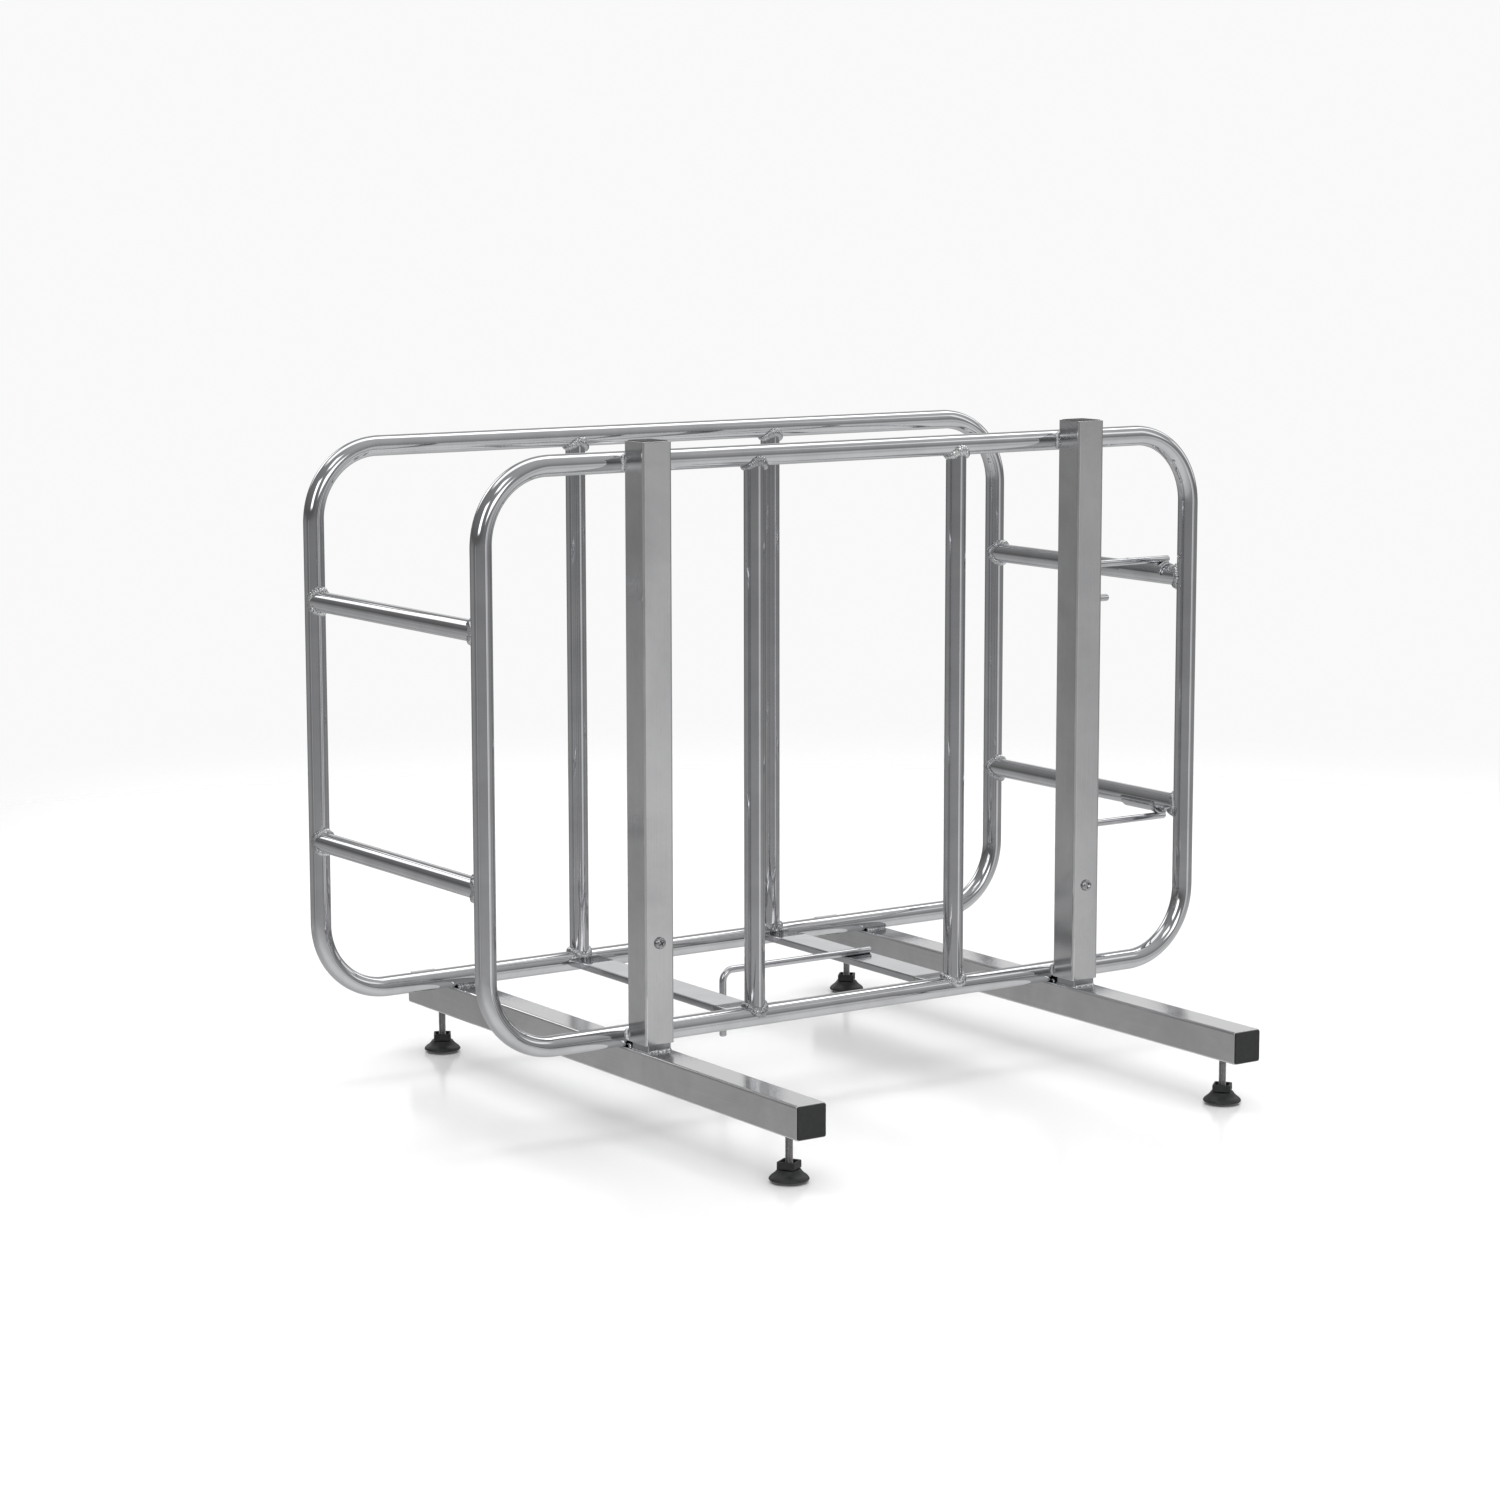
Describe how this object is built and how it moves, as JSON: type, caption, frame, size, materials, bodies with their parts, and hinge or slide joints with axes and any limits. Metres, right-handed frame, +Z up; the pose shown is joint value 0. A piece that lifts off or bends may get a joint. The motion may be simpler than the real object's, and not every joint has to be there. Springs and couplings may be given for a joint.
{
  "type": "cabin bag gauge stand",
  "caption": "Free-standing tube cage that a cabin bag is let down into to test its size, on two foot bars with screw feet and a sliding wire stop.",
  "frame": {"origin": "on the floor, at the centre of the footprint", "axes": "+X to the right along the cage's long side, +Y to the rear, +Z up"},
  "size_m": [0.5955, 0.4846, 0.4504],
  "materials": {
    "chromed_tube": "bright chrome plate on steel tube and strip",
    "chromed_wire": "chrome plate on drawn steel wire and bent strap",
    "plated_square_tube": "plated square steel tube, satin faces with soft corners",
    "weld_metal": "plated weld bead",
    "zinc_steel": "zinc-plated screws, nuts and threaded stems",
    "black_plastic": "black moulded plastic, fine matte grain"
  },
  "bodies": {
    "frame": {"front_loop": "chromed_tube", "rear_loop": "chromed_tube", "front_rung_left": "chromed_tube", "front_rung_right": "chromed_tube", "rear_rung_left": "chromed_tube", "rear_rung_right": "chromed_tube", "crossbar_left_upper": "chromed_tube", "crossbar_left_lower": "chromed_tube", "crossbar_right_upper": "chromed_tube", "crossbar_right_lower": "chromed_tube", "floor_strip_left": "chromed_tube", "floor_strip_right": "chromed_tube", "floor_wire": "chromed_wire", "upright_left": "plated_square_tube", "upright_right": "plated_square_tube", "foot_bar_left": "plated_square_tube", "foot_bar_right": "plated_square_tube", "spigot_left": "plated_square_tube", "spigot_right": "plated_square_tube", "spigot_welds": "weld_metal", "clamp_screws": "zinc_steel", "weld_nuts": "zinc_steel", "upright_caps": "black_plastic", "foot_bar_caps": "black_plastic"},
    "foot_front_left": {"pad_front_left": "black_plastic"},
    "screw_front_left": {"hub_front_left": "black_plastic", "stem_front_left": "zinc_steel"},
    "foot_front_right": {"pad_front_right": "black_plastic"},
    "screw_front_right": {"hub_front_right": "black_plastic", "stem_front_right": "zinc_steel"},
    "foot_rear_left": {"pad_rear_left": "black_plastic"},
    "screw_rear_left": {"hub_rear_left": "black_plastic", "stem_rear_left": "zinc_steel"},
    "foot_rear_right": {"pad_rear_right": "black_plastic"},
    "screw_rear_right": {"hub_rear_right": "black_plastic", "stem_rear_right": "zinc_steel"},
    "wire_stop": {"stop_bow": "chromed_wire", "stop_stub": "chromed_wire", "saddle_upper": "chromed_wire", "saddle_lower": "chromed_wire"}
  },
  "joints": [
    {"name": "height_front_left", "type": "slide", "parent": "frame", "child": "foot_front_left", "axis": [0, 0, 1], "range_m": [-0.003, 0.012]},
    {"name": "turn_front_left", "type": "hinge", "parent": "foot_front_left", "child": "screw_front_left", "pos_m": [-0.177, -0.2177, 0.0042], "axis": [0, 0, 1], "range_deg": [-1350, 5400]},
    {"name": "height_front_right", "type": "slide", "parent": "frame", "child": "foot_front_right", "axis": [0, 0, 1], "range_m": [-0.003, 0.012]},
    {"name": "turn_front_right", "type": "hinge", "parent": "foot_front_right", "child": "screw_front_right", "pos_m": [0.177, -0.2177, 0.0042], "axis": [0, 0, 1], "range_deg": [-1350, 5400]},
    {"name": "height_rear_left", "type": "slide", "parent": "frame", "child": "foot_rear_left", "axis": [0, 0, 1], "range_m": [-0.003, 0.012]},
    {"name": "turn_rear_left", "type": "hinge", "parent": "foot_rear_left", "child": "screw_rear_left", "pos_m": [-0.177, 0.2129, 0.0042], "axis": [0, 0, 1], "range_deg": [-1350, 5400]},
    {"name": "height_rear_right", "type": "slide", "parent": "frame", "child": "foot_rear_right", "axis": [0, 0, 1], "range_m": [-0.003, 0.012]},
    {"name": "turn_rear_right", "type": "hinge", "parent": "foot_rear_right", "child": "screw_rear_right", "pos_m": [0.177, 0.2129, 0.0042], "axis": [0, 0, 1], "range_deg": [-1350, 5400]},
    {"name": "stop_slide", "type": "slide", "parent": "frame", "child": "wire_stop", "axis": [0, 1, 0], "range_m": [-0.009, 0.14]}
  ],
  "couplings": [
    {"joint": "turn_front_left", "follows": "height_front_left", "rad_per_m": 7854},
    {"joint": "turn_front_right", "follows": "height_front_right", "rad_per_m": 7854},
    {"joint": "turn_rear_left", "follows": "height_rear_left", "rad_per_m": 7854},
    {"joint": "turn_rear_right", "follows": "height_rear_right", "rad_per_m": 7854}
  ]
}
